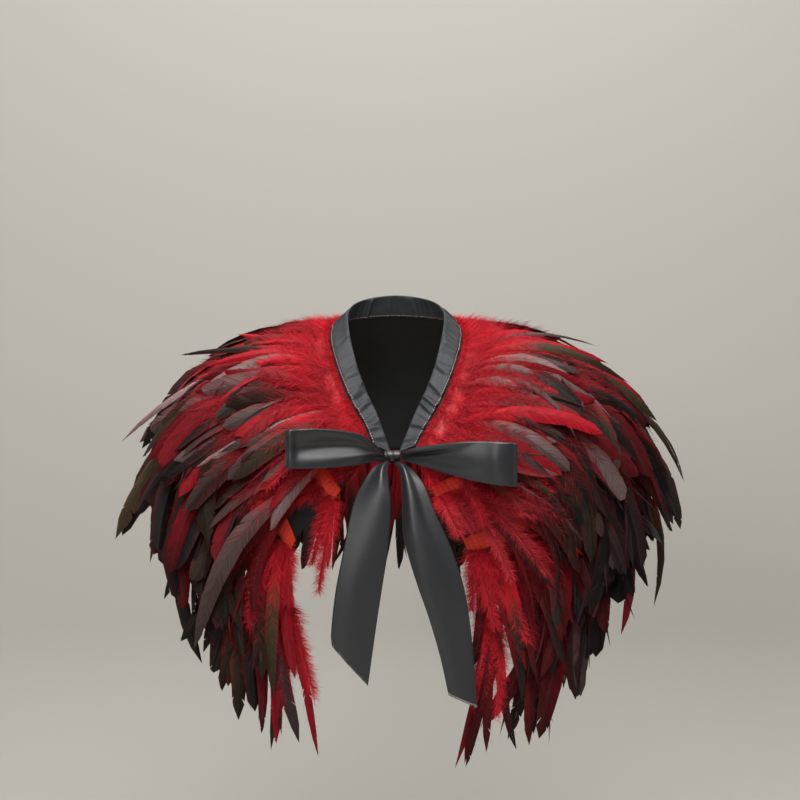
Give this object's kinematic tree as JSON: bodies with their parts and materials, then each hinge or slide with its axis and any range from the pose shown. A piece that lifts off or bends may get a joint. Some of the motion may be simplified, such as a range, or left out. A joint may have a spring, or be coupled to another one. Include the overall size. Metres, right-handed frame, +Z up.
{
  "type": "feather cape",
  "caption": "Short feather capelet in tiers over a cloth base, with a folded ribbon neckband tied in a bow at the front.",
  "frame": {"origin": "middle of the neck opening at the height of the shoulder tops, where the wearer's shoulders carry the cape", "axes": "+Z up, -Y towards the wearer's front, +X towards the wearer's left"},
  "size_m": [0.5754, 0.3376, 0.4694],
  "materials": {
    "base_cloth": "plain woven black cloth, matt",
    "satin_ribbon": "black satin, soft sheen",
    "red_feather": "dyed cock feathers, red, fluffy at the root",
    "dark_feather": "dyed cock feathers, dark red to olive black, with a satin sheen"
  },
  "bodies": {
    "root": {"base_front_left": "base_cloth", "base_front_right": "base_cloth", "base_back": "base_cloth", "neckband": "satin_ribbon", "feather_tier_1": "red_feather", "feather_tier_2": "red_feather", "feather_tier_3": "dark_feather", "feather_tier_4": "dark_feather", "bow_knot": "satin_ribbon", "bow_loop_left": "satin_ribbon", "bow_loop_right": "satin_ribbon", "bow_tail_left": "satin_ribbon", "bow_tail_right": "satin_ribbon"}
  },
  "joints": []
}
